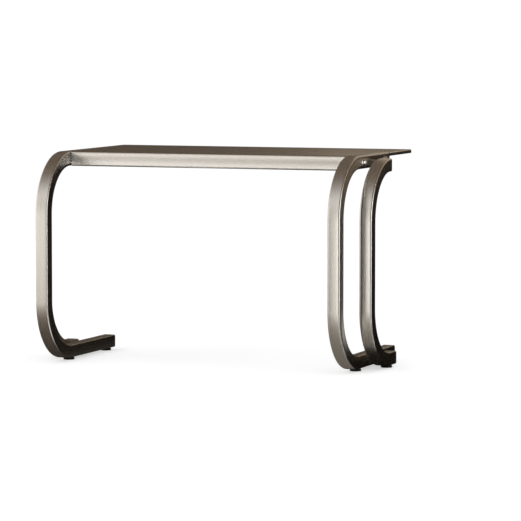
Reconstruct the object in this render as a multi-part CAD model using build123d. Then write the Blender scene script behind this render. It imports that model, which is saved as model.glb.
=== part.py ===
import os

from build123d import *

# Free-standing kitchen rack: a brushed stainless shelf over two side frames, with an open
# bay underneath for a countertop oven. Each frame is a deep C of bent tube with a shorter C
# beside it, welded to its outer side over spacers. Millimetres, Z up, X across the width.
# The drawing below counts Y back from the front face of the frames and Z up from the
# counter. The finished pieces are moved so that the origin is the middle of the footprint.

# Side frames
frame_width = 620.0  # across the outer faces of the two front tubes
overall_height = 410.0  # counter to the top of the shelf
tube_size = 25.0  # square tube, outside
tube_wall = 1.2
tube_corner = 3.0  # outside corner radius of the tube section
bend_radius = 118.0  # outside radius of every tube bend
front_top_straight = 177.0  # straight run of a front tube after its top bend
front_bottom_straight = 214.0
rear_setback = 79.5  # front face of the rear tubes behind that of the front tubes
rear_drop = 7.5  # top of the rear tubes below the shelf
rear_top_straight = 3.0
rear_bottom_straight = 33.0
tube_gap = 11.0  # between a rear tube and the runs beside it, clear of the screw heads
spacer_length = 20.0
spacer_height = 12.0
weld_gap = 0.1  # root gap of the welds between a spacer and the tubes

# Shelf tray, folded from one sheet
sheet = 1.2
fascia_lead = 3.0  # fascia face ahead of the end of the front top bends
fascia_height = 28.5
fascia_bend = 3.5  # outside radius of the folds along the fascia
fascia_return = 18.0  # lower edge folded back under the fascia
shelf_length = 323.0  # fascia face to rear edge
edge_height = 7.5  # folded side and rear edges
edge_bend = 2.5
edge_corner = 4.0  # rear corners in plan
side_return = 20.0  # side edges folded in behind the front tubes
side_relief = 1.5  # slot in front of each of these folds
rear_return = 15.0
fascia_fit = 0.8  # fascia and the shelf behind it to the tubes on either side
wing_gap = 0.8  # end caps to the wider part of the shelf behind them

# Stiffeners welded under the shelf. The crossbars are also screwed to the front tubes.
crossbar_depth = 40.0
crossbar_wall = 1.5
front_crossbar_height = 24.0
rear_crossbar_height = 20.0
crossbar_offset = 26.0  # fascia face to the middle of the front crossbar
crossbar_inset = 25.0  # end of the front tubes' top runs to the middle of the rear crossbar
rib_count = 3
rib_pitch = 150.0
rib_crown = 22.0
rib_brim = 9.0
rib_height = 12.0
rib_wall = 1.0

# Screws and nuts, all M6, threads drawn as plain cylinders
screw_size = 6.0
thread_fit = 0.05  # radial, between two threads
hole_fit = 0.3  # radial, screw shank to plain hole
side_screw_length = 35.0
dome_width = 12.5
dome_height = 5.0
socket_width = 4.0
socket_depth = 2.2
weld_nut_width = 10.0
weld_nut_height = 5.0

# End caps of the tubes
cap_height = 2.5
cap_edge = 1.0
plug_depth = 6.0
plug_wall = 1.6
plug_inset = 1.1  # tube wall to the hollow plug
plug_fit = 0.1  # tube wall to the fins
fin_count = 2
fin_height = 1.0

# Screw-in levelling feet
foot_clearance = 5.0  # counter to the underside of the tubes
foot_offset = 12.0  # end of a bottom bend to the middle of the foot behind it
foot_inset = 18.0  # end of a front tube's bottom run to the middle of the rear foot
pad_width = 22.0
pad_gap = 0.3  # pad to insert when the foot is screwed right in
pad_edge = 0.8
stud_size = 8.0
stud_length = 22.8  # under the stud's head to its end
stud_point = 0.8
stud_head_width = 14.0
stud_head_height = 1.5
sole_height = 1.2  # rubber under the stud's head
moulding_fit = 0.02  # rubber to steel
insert_width = 11.0
insert_length = 14.0
insert_flange_width = 14.0
insert_flange_height = 0.8
insert_bulge_width = 13.0
insert_bulge_height = 3.0
insert_fit = 0.1  # radial, insert to its hole in the tube

# Places that follow from the sizes
frame_x = (frame_width - tube_size) / 2
inner_x = frame_x - tube_size / 2
outer_x = frame_x + tube_size / 2
under_sheet = overall_height - sheet
rear_top = overall_height - rear_drop
tube_bore = tube_size - 2 * tube_wall
front_bend_end = bend_radius
front_top_end = front_bend_end + front_top_straight
front_bottom_end = front_bend_end + front_bottom_straight
rear_x = frame_x + tube_size + tube_gap
rear_bend_end = rear_setback + bend_radius
rear_top_end = rear_bend_end + rear_top_straight
rear_bottom_end = rear_bend_end + rear_bottom_straight
fascia_setback = front_bend_end - fascia_lead
rear_edge = fascia_setback + shelf_length
high_run_z = overall_height - tube_size / 2
rear_run_z = rear_top - tube_size / 2
low_run_z = foot_clearance + tube_size / 2
crossbar_places = {
    "front": (fascia_setback + crossbar_offset, front_crossbar_height),
    "rear": (front_top_end - crossbar_inset, rear_crossbar_height),
}
foot_places = {
    "front": (frame_x, front_bend_end + foot_offset),
    "middle": (rear_x, rear_bend_end + foot_offset),
    "rear": (frame_x, front_bottom_end - foot_inset),
}
sides = {"left": -1, "right": 1}
parts = {}


def block(x_span, y_span, z_span):
    """A box between two values on each axis."""
    spans = (x_span, y_span, z_span)
    corner = [min(span) for span in spans]
    size = [max(span) - min(span) for span in spans]
    return Pos(*corner) * Box(*size, align=(Align.MIN, Align.MIN, Align.MIN))


def rod(width, length):
    """A round bar that stands on z = 0."""
    return Cylinder(width / 2, length, align=(Align.CENTER, Align.CENTER, Align.MIN))


def bent_bar(route, size, corner):
    """A square bar in the plane x = 0, along straight runs joined by tangent bends."""
    path = FilletPolyline(*[(0, y, z) for y, z in route], radius=bend_radius - tube_size / 2)
    start = Plane(origin=path @ 0, x_dir=(1, 0, 0), z_dir=path % 0)
    return sweep(start * RectangleRounded(size, size, corner), path=path)


def c_tube(front_y, top_z, top_end, bottom_end):
    """A C-shaped tube: forward along the top, down the front, back along the counter."""
    y = front_y + tube_size / 2
    high = top_z - tube_size / 2
    route = [(top_end, high), (y, high), (y, low_run_z), (bottom_end, low_run_z)]
    inside = bent_bar(route, tube_bore, tube_corner - tube_wall)
    return bent_bar(route, tube_size, tube_corner) - inside


def screw(head_width, head_height, length):
    """A domed socket screw along Z, the underside of its head at z = 0."""
    ball = ((head_width / 2) ** 2 + head_height**2) / (2 * head_height)
    head = Pos(0, 0, head_height - ball) * Sphere(ball) & rod(head_width, head_height)
    key = extrude(RegularPolygon(socket_width / 2, 6, major_radius=False), socket_depth)
    head -= Pos(0, 0, head_height - socket_depth) * key
    return head + Pos(0, 0, -length) * rod(screw_size, length)


# Front tubes: the shelf lies between their top runs, flush with them, on the crossbars that
# are screwed between them.
front_tube = c_tube(0, overall_height, front_top_end, front_bottom_end)
screw_hole = screw_size + 2 * hole_fit
side_hole = Cylinder(screw_hole / 2, 2 * tube_size, rotation=(0, 90, 0))
for bar_y, bar_height in crossbar_places.values():
    front_tube -= Pos(0, bar_y, high_run_z) * side_hole

# Rear tubes: beside the front tubes, a little farther apart and farther back.
rear_tube = c_tube(rear_setback, rear_top, rear_top_end, rear_bottom_end)

foot_hole = rod(insert_width + 2 * insert_fit, low_run_z)
for foot_x, foot_y in foot_places.values():
    hole = Pos(0, foot_y, 0) * foot_hole
    if foot_x == frame_x:
        front_tube -= hole
    else:
        rear_tube -= hole
for side, sign in sides.items():
    parts[f"front_tube_{side}"] = Pos(sign * frame_x, 0, 0) * front_tube
    parts[f"rear_tube_{side}"] = Pos(sign * rear_x, 0, 0) * rear_tube

# Spacers: a short bar at each end of a rear tube, welded to it and to the run beside it.
spacer_x = (outer_x + weld_gap, outer_x + tube_gap - weld_gap)
spacers = []
for run_end, run_z in ((rear_top_end, (high_run_z + rear_run_z) / 2), (rear_bottom_end, low_run_z)):
    spacer_y = (run_end - spacer_length, run_end)
    spacer_z = (run_z - spacer_height / 2, run_z + spacer_height / 2)
    for sign in sides.values():
        spacers.append(block([sign * x for x in spacer_x], spacer_y, spacer_z))
parts["frame_spacers"] = Compound(children=spacers)

# End caps of the tubes: a rounded square head on a hollow plug, with thin fins that grip
# the tube. Drawn with the underside of the head at z = 0.
plug_width = tube_bore - 2 * plug_inset
fin_width = tube_bore - 2 * plug_fit
fin_corner = tube_corner - tube_wall
end_cap = extrude(RectangleRounded(tube_size, tube_size, tube_corner), cap_height)
end_cap = fillet(end_cap.edges().group_by(Axis.Z)[-1], cap_edge)
end_cap += extrude(Rectangle(plug_width, plug_width), -plug_depth)
for step in range(fin_count):
    fin = extrude(RectangleRounded(fin_width, fin_width, fin_corner), fin_height)
    end_cap += Pos(0, 0, -plug_depth * (step + 1) / fin_count) * fin
cavity = plug_width - 2 * plug_wall
end_cap -= extrude(Rectangle(cavity, cavity), -plug_depth)
cap_places = {
    "front_top": (frame_x, front_top_end, high_run_z),
    "front_bottom": (frame_x, front_bottom_end, low_run_z),
    "rear_top": (rear_x, rear_top_end, rear_run_z),
    "rear_bottom": (rear_x, rear_bottom_end, low_run_z),
}
for end, (cap_x, cap_y, cap_z) in cap_places.items():
    for side, sign in sides.items():
        turned = Pos(sign * cap_x, cap_y, cap_z) * Rot(-90, 0, 0)
        parts[f"{end}_cap_{side}"] = turned * end_cap

# Shelf tray: a flat top between the front tubes with a deep fold in front. Behind the tubes
# it widens to their outer faces, and its side and rear edges are folded there.
wing_y = front_top_end + cap_height + wing_gap
panel_x = inner_x - fascia_fit
edge_low = overall_height - edge_height
edge_floor = edge_low + sheet
fascia_low = overall_height - fascia_height
fold_rear = fascia_setback + crossbar_offset


def tray_top(inset):
    """Outer shape of the wide part and its folded edges, or the open space under it."""
    x = outer_x - inset
    body = block(
        (-x, x),
        (wing_y - inset, rear_edge - inset),
        (edge_low - inset, overall_height - inset),
    )
    body = fillet(body.edges().filter_by(Axis.Z).group_by(Axis.Y)[-1], edge_corner - inset)
    rim = body.edges().group_by(Axis.Z)[-1].sort_by(Axis.Y)
    return fillet(rim[1:], edge_bend - inset)


def fascia_fold(inset):
    """Outer shape of the front fold, or the space behind it, open at both ends."""
    x = panel_x + inset
    body = block(
        (-x, x),
        (fascia_setback + inset, fold_rear),
        (fascia_low + inset, overall_height - inset),
    )
    return fillet(body.edges().filter_by(Axis.X).group_by(Axis.Y)[0], fascia_bend - inset)


behind_return = block(
    (-inner_x, inner_x),
    (fascia_setback + fascia_return, fold_rear + sheet),
    (fascia_low - sheet, fascia_low + sheet),
)
panel = block((-panel_x, panel_x), (fold_rear, wing_y + sheet), (under_sheet, overall_height))
tray = tray_top(0) + fascia_fold(0) - fascia_fold(sheet) - tray_top(sheet) - behind_return
tray += panel
rear_flange_y = (rear_edge - sheet - rear_return, rear_edge - sheet / 2)
tray += block((edge_corner - outer_x, outer_x - edge_corner), rear_flange_y, (edge_low, edge_floor))
side_flange_y = (wing_y + side_relief, rear_edge - edge_corner)
for sign in sides.values():
    side_flange_x = (sign * (outer_x - sheet - side_return), sign * (outer_x - sheet / 2))
    tray += block(side_flange_x, side_flange_y, (edge_low, edge_floor))
parts["shelf_tray"] = tray


def crossbar(height):
    """An inverted channel with closed ends, its top face at z = 0."""
    half_depth = crossbar_depth / 2
    shape = []
    for inset in (0, crossbar_wall):
        x = inner_x - inset
        y = half_depth - inset
        body = block((-x, x), (-y, y), (-height, -inset))
        folds = body.edges().filter_by(Axis.X).group_by(Axis.Z)[-1]
        shape.append(fillet(folds, 2 * crossbar_wall - inset))
    return shape[0] - shape[1]


end_holes = Cylinder(screw_hole / 2, frame_width, rotation=(0, 90, 0))
for end, (bar_y, bar_height) in crossbar_places.items():
    bar = Pos(0, bar_y, under_sheet) * crossbar(bar_height)
    parts[f"{end}_crossbar"] = bar - Pos(0, bar_y, high_run_z) * end_holes

# Ribs of hat section from one crossbar to the other, their brims against the shelf.
rib_start = crossbar_places["front"][0] + crossbar_depth / 2
rib_length = crossbar_places["rear"][0] - crossbar_depth / 2 - rib_start
top_centre = (Align.CENTER, Align.MAX)
hat = Rectangle(rib_crown + 2 * rib_brim, rib_wall, align=top_centre)
hat += Rectangle(rib_crown, rib_height, align=top_centre)
hat -= Rectangle(rib_crown - 2 * rib_wall, rib_height - rib_wall, align=top_centre)
rib = extrude(Plane.XZ * hat, -rib_length)
rib_names = ["left", "centre", "right"] if rib_count == 3 else range(1, rib_count + 1)
for step, name in enumerate(rib_names):
    rib_x = (step - (rib_count - 1) / 2) * rib_pitch
    parts[f"shelf_rib_{name}"] = Pos(rib_x, rib_start, under_sheet) * rib

# Side screws run from the outer face of each front tube into a nut welded inside the
# closed end of a crossbar.
side_screw = screw(dome_width, dome_height, side_screw_length)
nut_bore = rod(screw_size + 2 * thread_fit, weld_nut_height)
weld_nut = extrude(RegularPolygon(weld_nut_width / 2, 6, major_radius=False), weld_nut_height)
weld_nut -= nut_bore
side_screws = []
weld_nuts = []
for bar_y, bar_height in crossbar_places.values():
    for sign in sides.values():
        head_seat = Pos(sign * outer_x, bar_y, high_run_z)
        nut_seat = Pos(sign * (inner_x - crossbar_wall), bar_y, high_run_z)
        side_screws.append(head_seat * Rot(0, sign * 90, 0) * side_screw)
        weld_nuts.append(nut_seat * Rot(0, -sign * 90, 0) * weld_nut)
parts["side_screws"] = Compound(children=side_screws)
parts["weld_nuts"] = Compound(children=weld_nuts)

# Levelling feet: a rubber pad moulded on a stud, which screws into an insert set in the
# underside of the tube. Drawn screwed right in.
pad_height = foot_clearance - insert_flange_height - pad_gap
stud_shoulder = sole_height + stud_head_height
stud = Pos(0, 0, sole_height) * rod(stud_head_width, stud_head_height)
stud += Pos(0, 0, stud_shoulder) * rod(stud_size, stud_length)
stud = chamfer(stud.edges().group_by(Axis.Z)[-1], stud_point)
pad = rod(pad_width, pad_height)
pad = chamfer(pad.edges().group_by(Axis.Z)[-1], pad_edge)
pad = fillet(pad.edges().group_by(Axis.Z)[0], pad_edge / 2)
head_space = rod(stud_head_width + 2 * moulding_fit, stud_head_height + 2 * moulding_fit)
pad -= Pos(0, 0, sole_height - moulding_fit) * head_space
pad -= Pos(0, 0, stud_shoulder) * rod(stud_size + 2 * moulding_fit, pad_height)
insert_low = foot_clearance - insert_flange_height
insert = Pos(0, 0, insert_low) * rod(insert_width, insert_length)
insert += Pos(0, 0, insert_low) * rod(insert_flange_width, insert_flange_height)
insert += Pos(0, 0, foot_clearance + tube_wall) * rod(insert_bulge_width, insert_bulge_height)
insert -= Pos(0, 0, insert_low) * rod(stud_size + 2 * thread_fit, insert_length)
foot_inserts = []
for end, (foot_x, foot_y) in foot_places.items():
    for side, sign in sides.items():
        place = Pos(sign * foot_x, foot_y, 0)
        parts[f"{end}_{side}_foot_stud"] = place * stud
        parts[f"{end}_{side}_foot_pad"] = place * pad
        foot_inserts.append(place * insert)
parts["foot_inserts"] = Compound(children=foot_inserts)

os.makedirs("parts", exist_ok=True)
for name, shape in parts.items():
    export_step(Pos(0, -rear_edge / 2, 0) * shape, f"parts/{name}.step")
    print(f"{name:26s} {len(shape.solids())} solids {shape.volume:10.0f} mm3")
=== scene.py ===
import math

import bpy
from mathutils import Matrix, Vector


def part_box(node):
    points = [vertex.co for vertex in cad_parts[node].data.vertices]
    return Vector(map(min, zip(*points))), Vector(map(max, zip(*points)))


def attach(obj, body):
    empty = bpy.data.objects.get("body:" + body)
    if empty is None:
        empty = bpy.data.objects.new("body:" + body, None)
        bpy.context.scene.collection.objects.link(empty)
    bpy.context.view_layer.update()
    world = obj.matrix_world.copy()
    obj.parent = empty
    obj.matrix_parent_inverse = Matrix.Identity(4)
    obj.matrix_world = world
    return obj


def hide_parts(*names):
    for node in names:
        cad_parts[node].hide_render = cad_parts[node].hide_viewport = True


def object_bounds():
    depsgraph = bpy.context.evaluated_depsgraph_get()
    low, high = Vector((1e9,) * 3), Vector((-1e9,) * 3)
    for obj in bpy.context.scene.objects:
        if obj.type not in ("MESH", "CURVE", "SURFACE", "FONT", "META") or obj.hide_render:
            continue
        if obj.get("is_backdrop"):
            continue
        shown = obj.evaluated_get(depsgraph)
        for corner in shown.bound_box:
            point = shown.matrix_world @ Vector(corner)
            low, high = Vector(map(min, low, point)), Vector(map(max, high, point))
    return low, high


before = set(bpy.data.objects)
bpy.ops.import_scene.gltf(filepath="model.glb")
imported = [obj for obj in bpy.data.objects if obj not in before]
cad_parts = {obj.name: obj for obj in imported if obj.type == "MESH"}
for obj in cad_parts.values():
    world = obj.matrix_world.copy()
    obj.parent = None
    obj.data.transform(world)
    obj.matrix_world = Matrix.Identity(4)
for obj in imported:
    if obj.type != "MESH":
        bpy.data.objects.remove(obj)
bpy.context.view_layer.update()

# Camera: a long lens six metres away, a little above the shelf and to the right of the
# rack, so that the outer faces on the right show and the shelf is seen nearly edge on.
CAMERA_PLACE = (2.298, -5.984, 0.694)
CAMERA_TURN = 20.41  # degrees to the left of straight back
CAMERA_DIP = 4.44  # degrees below the horizon
SENSOR_WIDTH = 36.0  # mm
FOCAL_PIXELS = 3285.0  # focal length in pixels of the frame
FRAME_PIXELS = 521.0
CAMERA_REACH = 100.0  # metres, past the end of the floor

camera = bpy.data.objects.new("camera", bpy.data.cameras.new("camera"))
bpy.context.scene.collection.objects.link(camera)
camera.location = CAMERA_PLACE
camera.rotation_euler = (math.radians(90 - CAMERA_DIP), 0, math.radians(CAMERA_TURN))
camera.data.sensor_width = SENSOR_WIDTH
camera.data.lens = SENSOR_WIDTH * FOCAL_PIXELS / FRAME_PIXELS
camera.data.clip_end = CAMERA_REACH
bpy.context.scene.camera = camera

# Studio: a white surround, a pale floor and two softboxes. Cards that only reflections see
# stand for a room round the rack, with a dark side where the camera is and windows to its
# left and right, because steel shows little but what it mirrors.
SURROUND = "#ffffff"
SKY_LEVEL = 0.62  # daylight on matt surfaces
FLOOR_HALF = 14.0
FLOOR_PAINT = "#dbdde0"
FLOOR_LIFT = 0.56  # makes the floor as white as the surround where no shadow falls
# Each card is a strip: the two ends of each row across it, and the colour there.
CARDS = {
    # Behind the rack: dark low down, pale about a metre up on the right, brown above.
    "back_wall_right": [
        ((-0.25, 1.5, 0.0), (3.6, 1.5, 0.0), "#14110e"),
        ((-0.25, 1.5, 0.40), (3.6, 1.5, 0.40), "#1c1814"),
        ((-0.25, 1.5, 0.60), (3.6, 1.5, 0.60), "#4a4138"),
        ((-0.25, 1.5, 0.80), (3.6, 1.5, 0.80), "#b5a593"),
        ((-0.25, 1.5, 1.00), (3.6, 1.5, 1.00), "#d9cbb9"),
        ((-0.25, 1.5, 1.40), (3.6, 1.5, 1.40), "#a09180"),
        ((-0.25, 1.5, 2.4), (3.6, 1.5, 2.4), "#7a6c5e"),
    ],
    "back_wall_left": [
        ((-2.6, 1.5, 0.0), (-0.25, 1.5, 0.0), "#3a322b"),
        ((-2.6, 1.5, 0.6), (-0.25, 1.5, 0.6), "#4a3f36"),
        ((-2.6, 1.5, 2.4), (-0.25, 1.5, 2.4), "#7a6c5e"),
    ],
    # Overhead, mirrored by the shelf's top and the upper bends.
    "ceiling": [
        ((-2.6, 1.5, 2.4), (3.6, 1.5, 2.4), "#5d5145"),
        ((-2.6, -0.8, 2.4), (3.6, -0.8, 2.4), "#6f6052"),
    ],
    "ceiling_in_front": [
        ((-2.6, -0.8, 2.4), (0.3, -0.8, 2.4), "#6f6052"),
        ((-3.6, -3.2, 2.4), (0.16, -3.2, 2.4), "#ffffff"),
    ],
    # In front of the rack, from its left to its right. The upright faces and the lower bends
    # mirror it. Close to the rack it is darkened into a painted shadow of the rack, and it grows
    # pale farther out.
    "left_counter": [
        ((-1.3, 1.5, 0.001), (-0.24, 1.5, 0.001), "#14110e"),
        ((-1.3, -0.12, 0.001), (-0.24, -0.12, 0.001), "#2b2723"),
        ((-1.3, -0.20, 0.001), (-0.24, -0.20, 0.001), "#403a33"),
        ((-1.3, -0.42, 0.001), (-0.24, -0.42, 0.001), "#5d5348"),
        ((-1.4, -0.80, 0.001), (-0.32, -0.80, 0.001), "#ada69b"),
        ((-1.7, -1.60, 0.001), (-0.63, -1.60, 0.001), "#ffffff"),
        ((-3.6, -3.40, 0.001), (-1.33, -3.40, 0.001), "#ffffff"),
        ((-6.0, -6.0, 0.001), (-2.35, -6.0, 0.001), "#b9b3ab"),
    ],
    # Darker near the rack as a painted shadow, like the left one.
    "right_counter": [
        ((-0.05, -0.12, 0.001), (0.31, -0.12, 0.001), "#6d6862"),
        ((-0.08, -0.20, 0.001), (0.30, -0.20, 0.001), "#7a746d"),
        ((-0.20, -0.50, 0.001), (0.20, -0.50, 0.001), "#9f978f"),
        ((-0.63, -1.60, 0.001), (-0.17, -1.60, 0.001), "#bab5ae"),
        ((-2.35, -6.0, 0.001), (-1.68, -6.0, 0.001), "#aba6a0"),
    ],
    # A lit strip, also darkened near the rack as a painted shadow.
    "lit_counter": [
        ((0.31, -0.12, 0.001), (0.36, -0.12, 0.001), "#504c48"),
        ((0.30, -0.20, 0.001), (0.36, -0.20, 0.001), "#5b5751"),
        ((0.20, -0.50, 0.001), (0.30, -0.50, 0.001), "#817b74"),
        ((-0.04, -1.20, 0.001), (0.20, -1.20, 0.001), "#ffffff"),
        ((-0.52, -2.60, 0.001), (0.10, -2.60, 0.001), "#ffffff"),
        ((-0.78, -3.40, 0.001), (0.10, -3.40, 0.001), "#8c8781"),
        ((-1.68, -6.0, 0.001), (0.10, -6.0, 0.001), "#7c7872"),
    ],
    # Behind and beside the rack: a near-black card of painted shade on the floor, standing for the
    # shadow there.
    "counter_behind": [
        ((-0.24, -0.12, 0.001), (3.0, -0.12, 0.001), "#14110e"),
        ((-0.24, 1.5, 0.001), (3.0, 1.5, 0.001), "#14110e"),
    ],
    # The dark side where the camera stands: a wedge of floor, a wall and the ceiling above.
    "camera_side": [
        ((0.37, -0.14, 0.001), (0.50, -0.14, 0.001), "#1a1b17"),
        ((0.42, -0.55, 0.001), (0.74, -0.55, 0.001), "#1a1b17"),
        ((0.10, -4.2, 0.001), (3.6, -4.2, 0.001), "#24251e"),
        ((0.10, -4.2, 2.4), (3.6, -4.2, 2.4), "#37382f"),
        ((0.3, -0.8, 2.4), (3.6, -0.8, 2.4), "#6f6052"),
    ],
    # To the right: a dark wall, a window that the crowned faces mirror at their edges, and a
    # grey wall.
    "right_wall": [
        ((3.6, -4.2, 0.0), (3.6, -4.2, 2.4), "#26271f"),
        ((3.6, -2.3, 0.0), (3.6, -2.3, 2.4), "#37382f"),
    ],
    "right_window": [
        ((3.6, -2.3, 0.0), (3.6, -2.3, 2.4), "#ffffff"),
        ((3.6, -0.5, 0.0), (3.6, -0.5, 2.4), "#ffffff"),
    ],
    "right_side_wall": [
        ((3.6, -0.5, 0.0), (3.6, -0.5, 2.4), "#a8a39b"),
        ((3.6, 1.5, 0.0), (3.6, 1.5, 2.4), "#6b655d"),
    ],
    # Far off in front: a wall with a bright band at 0.7 to 1 m, broken by a duller stripe.
    "left_front_wall": [
        ((-6.0, -6.0, 0.0), (-2.35, -6.0, 0.0), "#c3beb7"),
        ((-6.0, -6.0, 0.5), (-2.35, -6.0, 0.5), "#c3beb7"),
        ((-6.0, -6.0, 0.7), (-2.35, -6.0, 0.7), "#ffffff"),
        ((-6.0, -6.0, 1.0), (-2.35, -6.0, 1.0), "#ffffff"),
        ((-6.0, -6.0, 1.12), (-2.35, -6.0, 1.12), "#a39e97"),
        ((-6.0, -6.0, 3.0), (-2.35, -6.0, 3.0), "#b8b3ac"),
    ],
    "front_cupboard": [
        ((-2.35, -6.0, 0.0), (-1.68, -6.0, 0.0), "#9c978f"),
        ((-2.35, -6.0, 0.5), (-1.68, -6.0, 0.5), "#9c978f"),
        ((-2.35, -6.0, 0.7), (-1.68, -6.0, 0.7), "#b8b4ad"),
        ((-2.35, -6.0, 3.0), (-1.68, -6.0, 3.0), "#b8b4ad"),
    ],
    "front_window": [
        ((-1.68, -6.0, 0.0), (0.1, -6.0, 0.0), "#7c7872"),
        ((-1.68, -6.0, 0.5), (0.1, -6.0, 0.5), "#7c7872"),
        ((-1.68, -6.0, 0.7), (0.1, -6.0, 0.7), "#ffffff"),
        ((-1.68, -6.0, 1.0), (0.1, -6.0, 1.0), "#ffffff"),
        ((-1.68, -6.0, 1.12), (0.1, -6.0, 1.12), "#8c8781"),
        ((-1.68, -6.0, 3.0), (0.1, -6.0, 3.0), "#98938c"),
    ],
    # To the left: a warm window and a grey wall.
    "left_window": [
        ((-3.6, -3.0, 0.0), (-3.6, -3.0, 2.4), "#ffe6d8"),
        ((-3.6, -0.9, 0.0), (-3.6, -0.9, 2.4), "#ffe6d8"),
    ],
    "left_side_wall": [
        ((-3.6, -0.9, 0.0), (-3.6, -0.9, 2.4), "#c0bab2"),
        ((-3.6, 1.5, 0.0), (-3.6, 1.5, 2.4), "#8a847c"),
    ],
}
# Times as bright as their colours, for the windows and what they light.
LEVELS = {
    "right_window": 3.4,
    "left_window": 2.0,
    "left_front_wall": 1.4,
    "front_window": 2.3,
    "left_counter": 1.5,
    "lit_counter": 2.2,
}
# Place, width and height, and watts. Both lamps face the middle of the rack.
LAMPS = {
    "key_softbox": ((-3.0, -4.4, 3.0), (3.6, 3.6), 75.0),
    "right_softbox": ((3.8, -1.2, 1.4), (1.6, 2.4), 32.0),
}
LAMP_AIM = (0.0, 0.0, 0.2)
LAMP_COLOUR = "#fff6ea"


def linear(code):
    """An sRGB hex colour as linear red, green and blue."""
    parts = [int(code[place : place + 2], 16) / 255 for place in (1, 3, 5)]
    return [part / 12.92 if part <= 0.04045 else ((part + 0.055) / 1.055) ** 2.4 for part in parts]


def paint(code):
    """The same colour with an alpha of one, as a colour socket takes it."""
    return (*linear(code), 1.0)


def node(tree, kind, links=None, **settings):
    """Adds a node, sets its properties, and gives each input a value, a socket or a node."""
    made = tree.nodes.new(kind)
    for name, value in settings.items():
        setattr(made, name, value)
    for key, value in (links or {}).items():
        if isinstance(value, bpy.types.Node):
            value = value.outputs[0]
        if isinstance(value, bpy.types.NodeSocket):
            tree.links.new(value, made.inputs[key])
        else:
            made.inputs[key].default_value = value
    return made


def blank_material(name):
    """A material with an empty node tree."""
    made = bpy.data.materials.new(name)
    made.use_nodes = True
    made.node_tree.nodes.clear()
    return made, made.node_tree


def seen_direct(tree):
    """One for camera, mirror and glass rays, and nothing for the light on matt surfaces."""
    rays = node(tree, "ShaderNodeLightPath").outputs
    shiny = {0: rays["Is Glossy Ray"], 1: rays["Is Transmission Ray"]}
    shiny = node(tree, "ShaderNodeMath", shiny, operation="MAXIMUM")
    direct = {0: rays["Is Camera Ray"], 1: shiny}
    return node(tree, "ShaderNodeMath", direct, operation="MAXIMUM")


def mesh_object(name, points, faces=(), edges=(), material=None):
    """A mesh object linked to the scene, all its faces smooth."""
    mesh = bpy.data.meshes.new(name)
    mesh.from_pydata(points, edges, faces)
    mesh.shade_smooth()
    if material:
        mesh.materials.append(material)
    made = bpy.data.objects.new(name, mesh)
    bpy.context.scene.collection.objects.link(made)
    return made


world = bpy.data.worlds.new("studio")
bpy.context.scene.world = world
world.use_nodes = True
tree = world.node_tree
tree.nodes.clear()
sky = node(tree, "ShaderNodeBackground", {"Color": paint(SURROUND), "Strength": SKY_LEVEL})
white = node(tree, "ShaderNodeBackground", {"Color": paint(SURROUND), "Strength": 1.0})
mixed = node(tree, "ShaderNodeMixShader", {0: seen_direct(tree), 1: sky, 2: white})
node(tree, "ShaderNodeOutputWorld", {"Surface": mixed})

card_glow, tree = blank_material("card")
shade = node(tree, "ShaderNodeAttribute", attribute_name="shade").outputs["Color"]
glow = node(tree, "ShaderNodeEmission", {"Color": shade})
node(tree, "ShaderNodeOutputMaterial", {"Surface": glow})
for name, rows in CARDS.items():
    corners = [end for row in rows for end in row[:2]]
    strips = [(step, step + 1, step + 3, step + 2) for step in range(0, 2 * len(rows) - 2, 2)]
    card = mesh_object(name, corners, strips, material=card_glow)
    shades = card.data.attributes.new("shade", "FLOAT_COLOR", "POINT")
    level = LEVELS.get(name, 1.0)
    for step, corner in enumerate(shades.data):
        corner.color = [part * level for part in paint(rows[step // 2][2])]
    card.visible_camera = card.visible_diffuse = card.visible_shadow = False
    card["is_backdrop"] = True

pale_floor, tree = blank_material("pale_floor")
matt = node(tree, "ShaderNodeBsdfDiffuse", {"Color": paint(FLOOR_PAINT)})
lift = node(tree, "ShaderNodeMath", {0: seen_direct(tree), 1: FLOOR_LIFT}, operation="MULTIPLY")
glow = node(tree, "ShaderNodeEmission", {"Color": paint(SURROUND), "Strength": lift})
both = node(tree, "ShaderNodeAddShader", {0: matt, 1: glow})
node(tree, "ShaderNodeOutputMaterial", {"Surface": both})
corners = [(x * FLOOR_HALF, y * FLOOR_HALF, 0) for x, y in ((-1, -1), (1, -1), (1, 1), (-1, 1))]
mesh_object("floor", corners, [(0, 1, 2, 3)], material=pale_floor)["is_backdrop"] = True

for name, (place, size, power) in LAMPS.items():
    lamp = bpy.data.lights.new(name, "AREA")
    lamp.shape = "RECTANGLE"
    lamp.size, lamp.size_y = size
    lamp.energy = power
    lamp.color = linear(LAMP_COLOUR)
    softbox = bpy.data.objects.new(name, lamp)
    bpy.context.scene.collection.objects.link(softbox)
    softbox.location = place
    away = Vector(place) - Vector(LAMP_AIM)
    softbox.rotation_euler = away.to_track_quat("Z", "Y").to_euler()
    softbox.visible_camera = softbox.visible_glossy = False

# Side tubes: each side of the rack has a deep C of square stainless tube, bent over a mandrel,
# and a shorter C welded to its outer side. Both are brushed along their length.
BEND_RADIUS = 0.118  # outside of every bend
TUBE_WALL = 0.0012
TUBE_CORNER = 0.003
FACE_CROWN = 0.0002  # rolled faces bulge a little
BEND_STEPS = 40
CORNER_STEPS = 6
FACE_CUTS = 7
FACE_DENSER = math.pi / 2  # draws the cuts of a face towards its corners
WHOLE_STEP = 0.1  # two counts closer than this are the same
FLANK = 0.5  # a face looks sideways when the square of its normal's X is more
SMOOTH_ANGLE = math.radians(32)  # a sharper edge stays crisp


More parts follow.
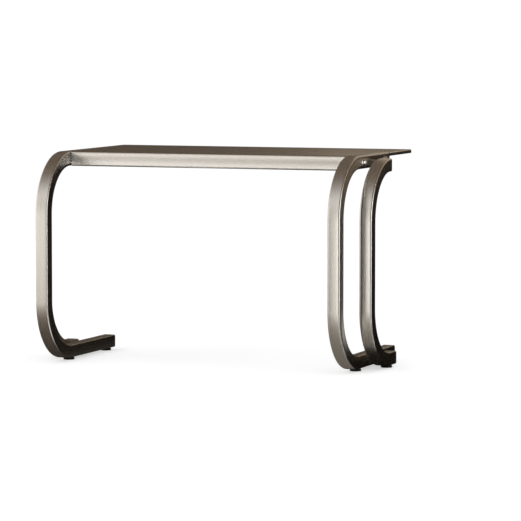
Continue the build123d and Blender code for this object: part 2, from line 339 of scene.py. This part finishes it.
def tube_tree(material):
    """Sweeps a rounded square along a route whose corners are bent to one radius."""
    scalar, vector = "ShaderNodeMath", "ShaderNodeVectorMath"
    tree = bpy.data.node_groups.new("bent_square_tube", "GeometryNodeTree")
    face = tree.interface
    face.new_socket("Route", in_out="INPUT", socket_type="NodeSocketGeometry")
    for name in ("Size", "Corner", "Bend", "Crown"):
        face.new_socket(name, in_out="INPUT", socket_type="NodeSocketFloat")
    face.new_socket("Tube", in_out="OUTPUT", socket_type="NodeSocketGeometry")
    given = node(tree, "NodeGroupInput").outputs

    # The rail is the tube's middle line. It keeps its length so far and its way for the finish.
    half = node(tree, scalar, {0: given["Size"], 1: 0.5}, operation="MULTIPLY")
    middle_bend = node(tree, scalar, {0: given["Bend"], 1: half}, operation="SUBTRACT")
    line = node(tree, "GeometryNodeMeshToCurve", {0: given["Route"]})
    bends = {"Curve": line, "Count": BEND_STEPS, "Radius": middle_bend}
    bent = node(tree, "GeometryNodeFilletCurve", bends, mode="POLY")
    rail = node(tree, "GeometryNodeCaptureAttribute", {0: bent})
    rail.capture_items.new("FLOAT", "along")
    rail.capture_items.new("VECTOR", "way")
    tree.links.new(node(tree, "GeometryNodeSplineParameter").outputs["Length"], rail.inputs[1])
    tree.links.new(node(tree, "GeometryNodeInputTangent").outputs[0], rail.inputs[2])
    along, way = rail.outputs[1], rail.outputs[2]

    # The section is a rounded square. After the points of a corner comes a face, which is cut.
    sides = {"Width": given["Size"], "Height": given["Size"]}
    square = node(tree, "GeometryNodeCurvePrimitiveQuadrilateral", sides)
    corners = {"Curve": square, "Count": CORNER_STEPS, "Radius": given["Corner"]}
    rounded = node(tree, "GeometryNodeFilletCurve", corners, mode="POLY")
    index = node(tree, "GeometryNodeInputIndex")
    count = node(tree, scalar, {0: index, 1: CORNER_STEPS + 1}, operation="MODULO")
    last = {0: count, 1: CORNER_STEPS, 2: WHOLE_STEP}
    is_face = node(tree, scalar, last, operation="COMPARE")
    cuts = node(tree, scalar, {0: is_face, 1: FACE_CUTS}, operation="MULTIPLY")
    cut = node(tree, "GeometryNodeSubdivideCurve", {"Curve": rounded, "Cuts": cuts})

    # A place is a share of the flat face, from minus one to one. The cuts move towards the
    # corners by the sine of that, and each face bulges most in its middle.
    place = node(tree, "GeometryNodeInputPosition")
    flat = node(tree, scalar, {0: half, 1: given["Corner"]}, operation="SUBTRACT")
    flats = node(tree, "ShaderNodeCombineXYZ", {0: flat, 1: flat, 2: 1.0})
    share = node(tree, vector, {0: place, 1: flats}, operation="DIVIDE")
    share = node(tree, vector, {0: share, 1: (-1, -1, -1)}, operation="MAXIMUM")
    share = node(tree, vector, {0: share, 1: (1, 1, 1)}, operation="MINIMUM")
    spread = node(tree, vector, {0: share, 1: (FACE_DENSER,) * 3}, operation="MULTIPLY")
    spread = node(tree, vector, {0: spread}, operation="SINE")
    denser = node(tree, vector, {0: spread, 1: share}, operation="SUBTRACT")
    denser = node(tree, vector, {0: denser, "Scale": flat}, operation="SCALE")
    apart = node(tree, "ShaderNodeSeparateXYZ", {0: share}).outputs
    swapped = node(tree, "ShaderNodeCombineXYZ", {0: apart[1], 1: apart[0]})
    squared = node(tree, vector, {0: swapped, 1: swapped}, operation="MULTIPLY")
    hollow = node(tree, vector, {0: (1, 1, 1), 1: squared}, operation="SUBTRACT")
    bulge = node(tree, vector, {0: share, 1: hollow}, operation="MULTIPLY")
    bulge = node(tree, vector, {0: bulge, "Scale": given["Crown"]}, operation="SCALE")
    shift = node(tree, vector, {0: denser, 1: bulge}, operation="ADD")
    shift = node(tree, vector, {0: shift, 1: (1, 1, 0)}, operation="MULTIPLY")
    moved = node(tree, "GeometryNodeSetPosition", {"Geometry": cut, "Offset": shift})
    section = node(tree, "GeometryNodeCaptureAttribute", {0: moved})
    section.capture_items.new("VECTOR", "across")
    tree.links.new(place.outputs[0], section.inputs[1])
    across = node(tree, "ShaderNodeSeparateXYZ", {0: section.outputs[1]}).outputs

    # The grain follows the tube. Only its blur of reflections stands upright on the faces that
    # look sideways, which keeps them dark and even all round the bends.
    skin = node(tree, "GeometryNodeCurveToMesh", {"Curve": rail, "Profile Curve": section})
    grain = node(tree, "ShaderNodeCombineXYZ", {0: along, 1: across[0], 2: across[1]})
    normal = node(tree, "GeometryNodeInputNormal")
    sideways = node(tree, "ShaderNodeSeparateXYZ", {0: normal})
    sideways = node(tree, scalar, {0: sideways, 1: sideways}, operation="MULTIPLY")
    is_flank = node(tree, scalar, {0: sideways, 1: FLANK}, operation="GREATER_THAN")
    upright = node(tree, "ShaderNodeCombineXYZ", {2: is_flank})
    others = node(tree, scalar, {0: 1.0, 1: is_flank}, operation="SUBTRACT")
    way = node(tree, vector, {0: way, "Scale": others}, operation="SCALE")
    way = node(tree, vector, {0: way, 1: upright}, operation="ADD")
    for name, value in (("grain", grain), ("grain_way", way)):
        stored = {"Geometry": skin, "Name": name, "Value": value}
        skin = node(tree, "GeometryNodeStoreNamedAttribute", stored, data_type="FLOAT_VECTOR")
    skin = node(tree, "GeometryNodeRealizeInstances", {0: skin})
    skin = node(tree, "GeometryNodeSetMaterial", {"Geometry": skin, "Material": material})
    node(tree, "NodeGroupOutput", {0: skin})
    return tree


def set_inputs(modifier, **values):
    """Sets the named inputs of a Geometry Nodes modifier."""
    for socket in modifier.node_group.interface.items_tree:
        if socket.item_type == "SOCKET" and socket.name in values:
            modifier[socket.identifier] = values[socket.name]


def walled(piece, thickness):
    """Gives a skin the thickness of its metal, inwards."""
    wall = piece.modifiers.new("wall", "SOLIDIFY")
    wall.thickness = thickness
    wall.offset = -1
    wall.use_even_offset = True


def settled(piece):
    """Replaces a piece's modifiers by the mesh that they make."""
    graph = bpy.context.evaluated_depsgraph_get()
    mesh = bpy.data.meshes.new_from_object(piece.evaluated_get(graph))
    piece.modifiers.clear()
    old, piece.data = piece.data, mesh
    bpy.data.meshes.remove(old)
    mesh.name = piece.name
    mesh.shade_smooth()
    mesh.set_sharp_from_angle(angle=SMOOTH_ANGLE)
    return piece


# Brushed stainless: a warm grey metal. The brushing blurs each reflection into a long soft
# band and leaves hairlines, which are drawn some ten times as wide as real ones so that they
# show. Wider bands come from the belt, and slow waves from the thin wall.
HAIRLINES = (25.0, 3500.0, 3500.0)  # per metre: 40 mm long and 0.3 mm wide
BELT_MARKS = (4.0, 260.0, 260.0)  # 250 mm long and 4 mm wide
WAVES = (6.0, 6.0, 6.0)  # 170 mm long
HAIRLINE_DEPTH = 0.000003
WAVE_DEPTH = 0.00004

brushed, tree = blank_material("belt_brushed_stainless")
grain = node(tree, "ShaderNodeAttribute", attribute_name="grain").outputs["Vector"]
way = node(tree, "ShaderNodeAttribute", attribute_name="grain_way").outputs["Vector"]
place = node(tree, "ShaderNodeMapping", {"Vector": grain, "Scale": HAIRLINES})
hairlines = node(tree, "ShaderNodeTexNoise", {"Vector": place, "Scale": 1.0, "Detail": 3.0})
place = node(tree, "ShaderNodeMapping", {"Vector": grain, "Scale": BELT_MARKS})
belt = node(tree, "ShaderNodeTexNoise", {"Vector": place, "Scale": 1.0})
place = node(tree, "ShaderNodeMapping", {"Vector": grain, "Scale": WAVES})
waves = node(tree, "ShaderNodeTexNoise", {"Vector": place, "Scale": 1.0, "Detail": 0.0})
shade = node(tree, "ShaderNodeMath", {0: hairlines, 1: belt}, operation="MULTIPLY")
colours = {0: shade, 6: paint("#dcd8d1"), 7: paint("#f2efea")}
colour = node(tree, "ShaderNodeMix", colours, data_type="RGBA").outputs[2]
polish = node(tree, "ShaderNodeMix", {0: hairlines, 2: 0.22, 3: 0.32})
bump = node(tree, "ShaderNodeBump", {"Height": waves, "Distance": WAVE_DEPTH, "Strength": 1.0})
hairline_bump = {"Height": hairlines, "Distance": HAIRLINE_DEPTH, "Strength": 1.0}
bump = node(tree, "ShaderNodeBump", {**hairline_bump, "Normal": bump})
metal = {"Base Color": colour, "Metallic": 1.0, "Roughness": polish, "Normal": bump}
metal = node(tree, "ShaderNodeBsdfPrincipled", {**metal, "Anisotropic": 0.85, "Tangent": way})
node(tree, "ShaderNodeOutputMaterial", {"Surface": metal})

tree = tube_tree(brushed)
for end in ("front", "rear"):
    for side in ("left", "right"):
        name = f"{end}_tube_{side}"
        low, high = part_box(name)
        size = high.x - low.x
        x, y = (low.x + high.x) / 2, low.y + size / 2
        cap_ends = [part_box(f"{end}_{level}_cap_{side}")[1].y for level in ("top", "bottom")]
        top_end = high.y - (cap_ends[1] - cap_ends[0])
        top, bottom = high.z - size / 2, low.z + size / 2
        route = [(x, top_end, top), (x, y, top), (x, y, bottom), (x, high.y, bottom)]
        tube = mesh_object(f"brushed_{name}", route, edges=[(0, 1), (1, 2), (2, 3)])
        sweep = tube.modifiers.new("sweep", "NODES")
        sweep.node_group = tree
        set_inputs(sweep, Size=size, Corner=TUBE_CORNER, Bend=BEND_RADIUS, Crown=FACE_CROWN)
        walled(tube, TUBE_WALL)
        settled(tube)
        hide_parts(name)
        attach(tube, "rack")

# Shelf tray: one sheet of the same brushed stainless. It lies between the front tubes, widens
# behind their ends, and is folded down at the sides and rear and twice in front. Its grain
# ran across the flat sheet, so it turns down the sides.
SHEET = 0.0012
FASCIA_BEND = 0.0035  # outside radii of the folds
EDGE_BEND = 0.0025
FLANGE_BEND = 0.0018
FASCIA_LIP = 0.018  # folded back under the shelf
FASCIA_GAP = 0.0008  # to the front tubes
EDGE_HEIGHT = 0.0075
EDGE_CORNER = 0.004  # rear corners, seen from above
SIDE_FLANGE = 0.0212  # reach of the flanges below the edges, in from the outer faces
REAR_FLANGE = 0.0162
WIDE_GAP = 0.0008  # from the top caps to the wide part
RELIEF = 0.0015  # slot cut in front of each side flange
HOLD = 0.0005  # flat strip that keeps a bend's shading off the panel
FOLD_STEPS = 6
CORNER_CUTS = 8

sheet_low, sheet_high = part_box("shelf_tray")
top = sheet_high.z
fascia_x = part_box("front_tube_right")[0].x - FASCIA_GAP
wide_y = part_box("front_top_cap_right")[1].y + WIDE_GAP
flange_y = wide_y + RELIEF
points, grains, ways, faces = [], [], [], []


def sheet_point(place, unfolded, way):
    """Adds a point with its place in the flat sheet and the way its grain runs."""
    points.append(place)
    grains.append((*unfolded, 0.0))
    ways.append(way)
    return len(points) - 1


def sheet_strips(rows):
    """Quads between rows of points, a triangle where two points are one."""
    for near, far in zip(rows, rows[1:]):
        for step in range(len(near) - 1):
            corners = (near[step], near[step + 1], far[step + 1], far[step])
            faces.append(tuple(dict.fromkeys(corners)))


def quarter(radius):
    """Steps of a quarter bend: its turn, two ways along the radius, and the length of its arc."""
    for step in range(1, FOLD_STEPS + 1):
        turn = math.pi / 2 * step / FOLD_STEPS
        yield turn, radius * math.sin(turn), radius * (1 - math.cos(turn)), radius * turn


# Fascia: Y, Z and length from a strip of the top down to the lip folded back under it.
bend_y = sheet_low.y + FASCIA_BEND
profile = [(bend_y + HOLD, top, -HOLD), (bend_y, top, 0.0)]
for turn, ahead, drop, length in quarter(FASCIA_BEND):
    profile.append((bend_y - ahead, top - drop, length))
length = profile[-1][2] + (top - sheet_low.z) - 2 * FASCIA_BEND
profile.append((sheet_low.y, sheet_low.z + FASCIA_BEND, length))
for turn, drop, back, arc in quarter(FASCIA_BEND):
    profile.append((sheet_low.y + back, sheet_low.z + FASCIA_BEND - drop, length + arc))
length = profile[-1][2] + FASCIA_LIP - FASCIA_BEND
profile.append((sheet_low.y + FASCIA_LIP, sheet_low.z, length))
fascia_rows = [
    [sheet_point((x, y, z), (x, bend_y - length), (1, 0, 0)) for y, z, length in profile]
    for x in (-fascia_x, fascia_x)
]
sheet_strips(fascia_rows)

# Side and rear edges: stations run from the front of the right side round to the left. Levels
# run down the edge, each with its inset, its drop, its fold and its length.
corner_x, corner_y = sheet_high.x - EDGE_CORNER, sheet_high.y - EDGE_CORNER
stations = [(corner_x, y, 0.0) for y in (wide_y, flange_y - RELIEF / 2, flange_y)]
for cut in range(CORNER_CUTS + 1):
    stations.append((corner_x, corner_y, math.pi / 2 * cut / CORNER_CUTS))
stations += [(-x, y, math.pi - turn) for x, y, turn in reversed(stations)]
wall_levels = [(EDGE_BEND + HOLD, 0.0, 0.0, -HOLD), (EDGE_BEND, 0.0, 0.0, 0.0)]
for turn, out, drop, length in quarter(EDGE_BEND):
    wall_levels.append((EDGE_BEND - out, drop, turn, length))
length = wall_levels[-1][3] + EDGE_HEIGHT - EDGE_BEND - FLANGE_BEND
wall_levels.append((0.0, EDGE_HEIGHT - FLANGE_BEND, math.pi / 2, length))
straight_level = (0.0, EDGE_HEIGHT, math.pi / 2, length + FLANGE_BEND)
flange_levels = []
for turn, down, back, arc in quarter(FLANGE_BEND):
    drop = EDGE_HEIGHT - FLANGE_BEND + down
    flange_levels.append((back, drop, math.pi / 2 + turn, length + arc))


def edge_point(station, level):
    """A point of the folded edge, at a station round it and a level down its profile."""
    x, y, turn = station
    inset, drop, fold, length = level
    out = Vector((math.cos(turn), math.sin(turn), 0))
    place = Vector((x, y, top - drop)) + out * (EDGE_CORNER - inset)
    flat = Vector((x, y, 0)) + out * (EDGE_CORNER - EDGE_BEND + length)
    down = out * math.cos(fold) - Vector((0, 0, math.sin(fold)))
    across = Vector((-math.sin(turn), math.cos(turn), 0))
    return sheet_point(place, flat[:2], down * math.cos(turn) - across * math.sin(turn))


wall_rows = [[edge_point(station, level) for level in wall_levels] for station in stations]
sheet_strips(wall_rows)
# In front of its flange each side edge goes straight down.
for first in (0, len(stations) - 2):
    pairs = [(wall_rows[step], stations[step]) for step in (first, first + 1)]
    sheet_strips([[row[-1], edge_point(station, straight_level)] for row, station in pairs])
# The flanges run in to four points: their front ends, and the mitres of the rear corners.
inner_x, inner_y = sheet_high.x - SIDE_FLANGE, sheet_high.y - REAR_FLANGE
inner_points = {}
flange_rows = []
for row, station in list(zip(wall_rows, stations))[2:-2]:
    x, y, turn = station
    side = 1 if x > 0 else -1
    flange = [row[-1]] + [edge_point(station, level) for level in flange_levels]
    key = (side, y == flange_y)
    if key not in inner_points:
        place = (side * inner_x, flange_y if y == flange_y else inner_y, top - EDGE_HEIGHT)
        inner_points[key] = sheet_point(place, place[:2], (-side, 0, 0))
    flange_rows.append(flange + [inner_points[key]])
sheet_strips(flange_rows)

# The panel is one flat face between the fascia's strip, the edges' strips and the two notches.
notches = [sheet_point((x, wide_y, top), (x, wide_y), (1, 0, 0)) for x in (fascia_x, -fascia_x)]
front = [fascia_rows[0][0], fascia_rows[1][0]]
faces.append((*front, notches[0], *[row[0] for row in wall_rows], notches[1]))

tray = mesh_object("brushed_shelf_tray", points, faces, material=brushed)
for name, values in (("grain", grains), ("grain_way", ways)):
    stored = tray.data.attributes.new(name, "FLOAT_VECTOR", "POINT")
    stored.data.foreach_set("vector", [number for value in values for number in value])
walled(tray, SHEET)
settled(tray)
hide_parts("shelf_tray")
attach(tray, "rack")

# Crossbars, ribs and spacers: sections folded from stainless sheet as it left the mill, and
# cut blocks, welded under the shelf and between the tubes. The dull finish is cloudy, with
# faint rolling lines, which are drawn ten times as wide as real ones so that they show.
CLOUDS = (22.0, 22.0, 22.0)  # per metre: patches 45 mm wide
ROLLING_LINES = (6.0, 900.0, 900.0)  # 170 mm long and 1 mm wide
ROLLING_DEPTH = 0.00001
MILL_PIECES = ["frame_spacers", "front_crossbar", "rear_crossbar"]
MILL_PIECES += [f"shelf_rib_{place}" for place in ("left", "centre", "right")]

mill, tree = blank_material("mill_rolled_stainless")
spot = node(tree, "ShaderNodeTexCoord").outputs["Object"]
place = node(tree, "ShaderNodeMapping", {"Vector": spot, "Scale": CLOUDS})
clouds = node(tree, "ShaderNodeTexNoise", {"Vector": place, "Scale": 1.0})
place = node(tree, "ShaderNodeMapping", {"Vector": spot, "Scale": ROLLING_LINES})
lines = node(tree, "ShaderNodeTexNoise", {"Vector": place, "Scale": 1.0})
colours = {0: clouds, 6: paint("#98958f"), 7: paint("#bab7b1")}
colour = node(tree, "ShaderNodeMix", colours, data_type="RGBA").outputs[2]
polish = node(tree, "ShaderNodeMix", {0: clouds, 2: 0.38, 3: 0.52})
bump = node(tree, "ShaderNodeBump", {"Height": lines, "Distance": ROLLING_DEPTH, "Strength": 1.0})
metal = {"Base Color": colour, "Metallic": 1.0, "Roughness": polish, "Normal": bump}
metal = node(tree, "ShaderNodeBsdfPrincipled", metal)
node(tree, "ShaderNodeOutputMaterial", {"Surface": metal})
for name in MILL_PIECES:
    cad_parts[name].material_slots[0].material = mill

# Side screws: M6 domed socket screws, cold-headed and polished, one at each end of both
# crossbars. The polish leaves a faint grain, so the dome mirrors the studio softly.
DOME_WIDTH = 0.0125
DOME_HEIGHT = 0.005
DOME_EDGE = 0.0003
SOCKET_WIDTH = 0.004  # across its flats
SOCKET_DEPTH = 0.0022
SOCKET_MOUTH = 0.0024  # reach of its round mouth, just past the corners
SOCKET_CHAMFER = 0.0002
DRILL_DEPTH = SOCKET_WIDTH / 6  # of the point below the socket
DRILL_TIP = 0.0005
SHANK_WIDTH = 0.006
SHANK_LENGTH = 0.035
SHANK_POINT = 0.0008
DOME_STEPS = 14
ROUND_STEPS = 48
POLISH_GRAIN = (0.0, 5000.0, 5000.0)  # per metre: 0.2 mm wide, which is just enough to show
POLISH_DEPTH = 0.000002


def turned_form(rings, steps=ROUND_STEPS):
    """Points and faces of a closed form about Z. A ring is a radius, or its rule, and a height."""
    form = []
    for radius, height in rings:
        for step in range(steps):
            turn = math.tau * step / steps
            reach = radius(turn) if callable(radius) else radius
            form.append((reach * math.cos(turn), reach * math.sin(turn), height))
    sides = []
    for ring in range(len(rings) - 1):
        for step in range(steps):
            near, far = ring * steps + step, ring * steps + (step + 1) % steps
            sides.append((near, far, far + steps, near + steps))
    last = (len(rings) - 1) * steps
    return form, [tuple(reversed(range(steps))), *sides, tuple(range(last, last + steps))]


def hexagon(width):
    """The reach of a hexagonal socket of that width across its flats, at each turn."""
    return lambda turn: width / 2 / math.cos((turn + math.pi / 6) % (math.pi / 3) - math.pi / 6)


def copies_tree(material):
    """Sets a copy of a form on each point, leant outwards about Y on either side."""
    tree = bpy.data.node_groups.new("set_copies", "GeometryNodeTree")
    face = tree.interface
    face.new_socket("Places", in_out="INPUT", socket_type="NodeSocketGeometry")
    face.new_socket("Form", in_out="INPUT", socket_type="NodeSocketObject")
    face.new_socket("Lean", in_out="INPUT", socket_type="NodeSocketFloat")
    face.new_socket("Copies", in_out="OUTPUT", socket_type="NodeSocketGeometry")
    given = node(tree, "NodeGroupInput").outputs
    form = node(tree, "GeometryNodeObjectInfo", {"Object": given["Form"]}).outputs["Geometry"]
    place = node(tree, "GeometryNodeInputPosition")
    side = node(tree, "ShaderNodeSeparateXYZ", {0: place})
    side = node(tree, "ShaderNodeMath", {0: side}, operation="SIGN")
    lean = node(tree, "ShaderNodeMath", {0: side, 1: given["Lean"]}, operation="MULTIPLY")
    turn = node(tree, "ShaderNodeCombineXYZ", {1: lean})
    spots = {"Points": given["Places"], "Instance": form, "Rotation": turn}
    copies = node(tree, "GeometryNodeInstanceOnPoints", spots)
    copies = node(tree, "GeometryNodeRealizeInstances", {0: copies})
    copies = node(tree, "GeometryNodeSetMaterial", {"Geometry": copies, "Material": material})
    node(tree, "NodeGroupOutput", {0: copies})
    return tree


def set_copies(name, form, places, tree, lean=0.0):
    """One mesh of a form's copies, one on each place."""
    pattern = mesh_object(f"{name}_form", *form)
    piece = mesh_object(name, places)
    setting = piece.modifiers.new("setting", "NODES")
    setting.node_group = tree
    set_inputs(setting, Form=pattern, Lean=lean)
    settled(piece)
    bpy.data.meshes.remove(pattern.data)
    return piece


polished, tree = blank_material("polished_stainless")
spot = node(tree, "ShaderNodeTexCoord").outputs["Object"]
place = node(tree, "ShaderNodeMapping", {"Vector": spot, "Scale": POLISH_GRAIN})
grit = node(tree, "ShaderNodeTexNoise", {"Vector": place, "Scale": 1.0})
colours = {0: grit, 6: paint("#d8d5cf"), 7: paint("#efede9")}
colour = node(tree, "ShaderNodeMix", colours, data_type="RGBA").outputs[2]
polish = node(tree, "ShaderNodeMix", {0: grit, 2: 0.1, 3: 0.2})
bump = node(tree, "ShaderNodeBump", {"Height": grit, "Distance": POLISH_DEPTH, "Strength": 1.0})
metal = {"Base Color": colour, "Metallic": 1.0, "Roughness": polish, "Normal": bump}
metal = node(tree, "ShaderNodeBsdfPrincipled", metal)
node(tree, "ShaderNodeOutputMaterial", {"Surface": metal})

ball = ((DOME_WIDTH / 2) ** 2 + DOME_HEIGHT**2) / (2 * DOME_HEIGHT)
rim = math.asin((DOME_WIDTH / 2 - DOME_EDGE) / ball)
mouth = math.asin(SOCKET_MOUTH / ball)
dome = []
for step in range(DOME_STEPS + 1):
    turn = rim + (mouth - rim) * step / DOME_STEPS
    dome.append((ball * math.sin(turn), ball * math.cos(turn) - ball + DOME_HEIGHT))
socket_floor = DOME_HEIGHT - SOCKET_DEPTH
rings = [
    (SHANK_WIDTH / 2 - SHANK_POINT, -SHANK_LENGTH),
    (SHANK_WIDTH / 2, SHANK_POINT - SHANK_LENGTH),
    (SHANK_WIDTH / 2, 0.0),
    (DOME_WIDTH / 2 - DOME_EDGE, 0.0),
    (DOME_WIDTH / 2, dome[0][1] / 2),
    *dome,
    (hexagon(SOCKET_WIDTH), dome[-1][1] - SOCKET_CHAMFER),
    (hexagon(SOCKET_WIDTH), socket_floor),
    (DRILL_TIP, socket_floor - DRILL_DEPTH),
]
low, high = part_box("side_screws")
seat_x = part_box("front_tube_right")[1].x
seat_z = (low.z + high.z) / 2
seats = [
    (side * seat_x, y, seat_z)
    for y in (low.y + DOME_WIDTH / 2, high.y - DOME_WIDTH / 2)
    for side in (-1, 1)
]
tree = copies_tree(polished)
screws = set_copies("domed_side_screws", turned_form(rings), seats, tree, lean=math.pi / 2)
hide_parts("side_screws")
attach(screws, "rack")

# Weld nuts and foot inserts: small turned parts inside the tubes, zinc-plated and passivated,
# which leaves a pale grey with a faint blue and straw tint in patches and fine tool marks.
TINT_PATCHES = (180.0, 180.0, 180.0)  # per metre: 6 mm wide
TOOL_MARKS = (300.0, 300.0, 5200.0)  # 3 mm long and 0.2 mm apart
TOOL_DEPTH = 0.000008

plated, tree = blank_material("zinc_plated_steel")
spot = node(tree, "ShaderNodeTexCoord").outputs["Object"]
place = node(tree, "ShaderNodeMapping", {"Vector": spot, "Scale": TINT_PATCHES})
patches = node(tree, "ShaderNodeTexNoise", {"Vector": place, "Scale": 1.0})
place = node(tree, "ShaderNodeMapping", {"Vector": spot, "Scale": TOOL_MARKS})
marks = node(tree, "ShaderNodeTexNoise", {"Vector": place, "Scale": 1.0})
colours = {0: patches, 6: paint("#aeb4b9"), 7: paint("#c4bfae")}
colour = node(tree, "ShaderNodeMix", colours, data_type="RGBA").outputs[2]
polish = node(tree, "ShaderNodeMix", {0: marks, 2: 0.26, 3: 0.42})
bump = node(tree, "ShaderNodeBump", {"Height": marks, "Distance": TOOL_DEPTH, "Strength": 1.0})
metal = {"Base Color": colour, "Metallic": 1.0, "Roughness": polish, "Normal": bump}
metal = node(tree, "ShaderNodeBsdfPrincipled", metal)
node(tree, "ShaderNodeOutputMaterial", {"Surface": metal})
for name in ("weld_nuts", "foot_inserts"):
    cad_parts[name].material_slots[0].material = plated

# Foot studs: M8 threads rolled on the same plated steel, above a flat head that the pad is
# moulded on. The stud screws into an insert in the underside of its tube.
STUD_CREST = 0.004
STUD_ROOT = 0.0034
THREAD_PITCH = 0.00125
THREAD_RINGS = 8  # for each turn of the thread
STUD_HEAD = 0.007
STUD_HEAD_HEIGHT = 0.0015
STUD_HEAD_EDGE = 0.0002
STUD_POINT = 0.0008
STUD_STEPS = 32


def thread_reach(height):
    """The reach of the thread's surface at a height, as a rule of the turn about its axis."""
    return lambda turn: STUD_CREST - (STUD_CREST - STUD_ROOT) * abs(
        2 * ((height / THREAD_PITCH - turn / math.tau) % 1) - 1
    )


feet = [f"{end}_{side}_foot" for end in ("front", "middle", "rear") for side in ("left", "right")]
tree = copies_tree(plated)
for foot in feet:
    low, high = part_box(f"{foot}_stud")
    shoulder = low.z + STUD_HEAD_HEIGHT
    thread_low = shoulder + THREAD_PITCH
    rings = [
        (STUD_HEAD - STUD_HEAD_EDGE, low.z),
        (STUD_HEAD, low.z + STUD_HEAD_EDGE),
        (STUD_HEAD, shoulder - STUD_HEAD_EDGE),
        (STUD_HEAD - STUD_HEAD_EDGE, shoulder),
        (STUD_ROOT, shoulder),
        (STUD_ROOT, thread_low),
    ]
    count = round((high.z - STUD_POINT - thread_low) / THREAD_PITCH * THREAD_RINGS)
    for step in range(1, count + 1):
        height = thread_low + THREAD_PITCH * step / THREAD_RINGS
        rings.append((thread_reach(height), height))
    rings.append((STUD_CREST - STUD_POINT, high.z))
    middle = ((low.x + high.x) / 2, (low.y + high.y) / 2, 0)
    stud = set_copies(f"threaded_{foot}_stud", turned_form(rings, STUD_STEPS), [middle], tree)
    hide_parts(f"{foot}_stud")
    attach(stud, foot)

# Foot pads: black rubber moulded round the stud's head, with a grip groove about the side and
# a shallow dish under the sole. The matt skin has a fine spark-eroded grain, drawn some four
# times as coarse as the real one so that it shows, and a little dust that dulls it.
PAD_RADIUS = 0.011
PAD_EDGE = 0.0008
SOLE_EDGE = 0.0004
DISH = (0.0077, 0.0088)  # reach of its floor and of its rim
DISH_DEPTH = 0.0003
GROOVE_DEPTH = 0.0005
GROOVE_LEVELS = (0.34, 0.42, 0.52, 0.6)  # shares of the pad's height
COLLAR = (0.0046, 0.004)  # reach of the step round the stud, outside and inside
COLLAR_DEPTH = 0.0003
RUBBER_GRAIN = (2600.0, 2600.0, 2600.0)  # per metre: 0.4 mm wide
DUST = (240.0, 240.0, 700.0)  # patches 4 mm wide and 1.5 mm high
RUBBER_GRAIN_DEPTH = 0.00003

rubber, tree = blank_material("moulded_rubber")
spot = node(tree, "ShaderNodeTexCoord").outputs["Object"]
place = node(tree, "ShaderNodeMapping", {"Vector": spot, "Scale": RUBBER_GRAIN})
grit = node(tree, "ShaderNodeTexNoise", {"Vector": place, "Scale": 1.0, "Detail": 3.0})
place = node(tree, "ShaderNodeMapping", {"Vector": spot, "Scale": DUST})
dust = node(tree, "ShaderNodeTexNoise", {"Vector": place, "Scale": 1.0, "Detail": 3.0})
colours = {0: dust, 6: paint("#141312"), 7: paint("#2a2826")}
colour = node(tree, "ShaderNodeMix", colours, data_type="RGBA").outputs[2]
dull = node(tree, "ShaderNodeMix", {0: dust, 2: 0.62, 3: 0.85})
skin_bump = {"Height": grit, "Distance": RUBBER_GRAIN_DEPTH, "Strength": 1.0}
bump = node(tree, "ShaderNodeBump", skin_bump)
skin = {"Base Color": colour, "Roughness": dull, "Normal": bump}
skin = node(tree, "ShaderNodeBsdfPrincipled", skin)
node(tree, "ShaderNodeOutputMaterial", {"Surface": skin})

tree = copies_tree(rubber)
for foot in feet:
    low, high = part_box(f"{foot}_pad")
    tall = high.z - low.z
    waist = PAD_RADIUS - GROOVE_DEPTH
    reaches = (PAD_RADIUS, waist, waist, PAD_RADIUS)
    rings = [
        (DISH[0], DISH_DEPTH),
        (DISH[1], 0.0),
        (PAD_RADIUS - SOLE_EDGE, 0.0),
        (PAD_RADIUS, SOLE_EDGE),
        *[(reach, tall * level) for reach, level in zip(reaches, GROOVE_LEVELS)],
        (PAD_RADIUS, tall - PAD_EDGE),
        (PAD_RADIUS - PAD_EDGE, tall),
        (COLLAR[0], tall),
        (COLLAR[1], tall - COLLAR_DEPTH),
        (STUD_ROOT, tall - COLLAR_DEPTH),
    ]
    middle = ((low.x + high.x) / 2, (low.y + high.y) / 2, low.z)
    pad = set_copies(f"moulded_{foot}_pad", turned_form(rings), [middle], tree)
    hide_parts(f"{foot}_pad")
    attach(pad, foot)

# End caps: black polyethylene pressed into the open ends of the tubes. The skin is a satin
# moulded black, paler and smoother where hands rub it, with a fine texture that is drawn some
# five times as coarse as the real one so that it shows.
CAP_GRAIN = (1900.0, 1900.0, 1900.0)  # per metre: 0.5 mm wide
RUBBED = (60.0, 60.0, 60.0)  # patches 17 mm wide
CAP_GRAIN_DEPTH = 0.00002

moulded, tree = blank_material("moulded_polyethylene")
spot = node(tree, "ShaderNodeTexCoord").outputs["Object"]
place = node(tree, "ShaderNodeMapping", {"Vector": spot, "Scale": CAP_GRAIN})
grit = node(tree, "ShaderNodeTexNoise", {"Vector": place, "Scale": 1.0})
place = node(tree, "ShaderNodeMapping", {"Vector": spot, "Scale": RUBBED})
rubbed = node(tree, "ShaderNodeTexNoise", {"Vector": place, "Scale": 1.0})
colours = {0: rubbed, 6: paint("#121212"), 7: paint("#222121")}
colour = node(tree, "ShaderNodeMix", colours, data_type="RGBA").outputs[2]
satin = node(tree, "ShaderNodeMix", {0: rubbed, 2: 0.36, 3: 0.52})
bump = node(tree, "ShaderNodeBump", {"Height": grit, "Distance": CAP_GRAIN_DEPTH, "Strength": 1.0})
skin = {"Base Color": colour, "Roughness": satin, "Normal": bump}
skin = node(tree, "ShaderNodeBsdfPrincipled", skin)
node(tree, "ShaderNodeOutputMaterial", {"Surface": skin})
for end in ("front", "rear"):
    for level in ("top", "bottom"):
        for side in ("left", "right"):
            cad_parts[f"{end}_{level}_cap_{side}"].material_slots[0].material = moulded

bpy.context.scene.view_settings.view_transform = "Standard"
low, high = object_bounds()
